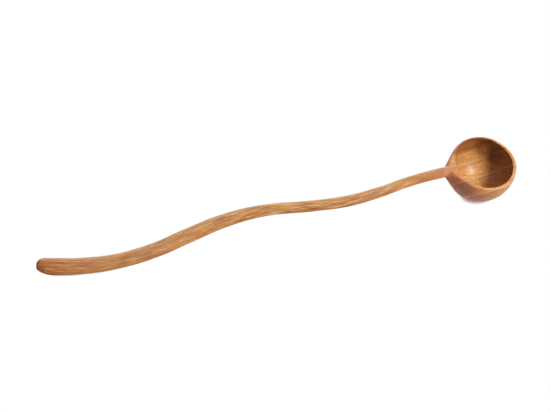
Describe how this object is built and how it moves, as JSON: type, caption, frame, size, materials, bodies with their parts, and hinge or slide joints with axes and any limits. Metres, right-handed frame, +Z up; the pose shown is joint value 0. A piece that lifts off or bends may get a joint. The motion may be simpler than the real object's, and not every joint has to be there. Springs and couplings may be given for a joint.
{
  "type": "wooden measuring spoon",
  "caption": "Teak measuring spoon: a round deep bowl with a flat thin rim on a long, slim, wavy oval handle that thickens to a rounded end.",
  "frame": {"origin": "on the table that the spoon lies on, under the middle of its bounding box", "axes": "+Z up from the table; +X along the spoon from the handle's free end to the bowl; the bowl's mouth is rolled 26.5 degrees from +Z towards -Y"},
  "size_m": [0.3542, 0.0478, 0.0394],
  "materials": {
    "bowl_teak": "oiled teak, carved round and sanded",
    "handle_teak": "oiled teak, shaved along the grain and sanded"
  },
  "bodies": {
    "root": {"bowl": "bowl_teak", "handle": "handle_teak"}
  },
  "joints": []
}
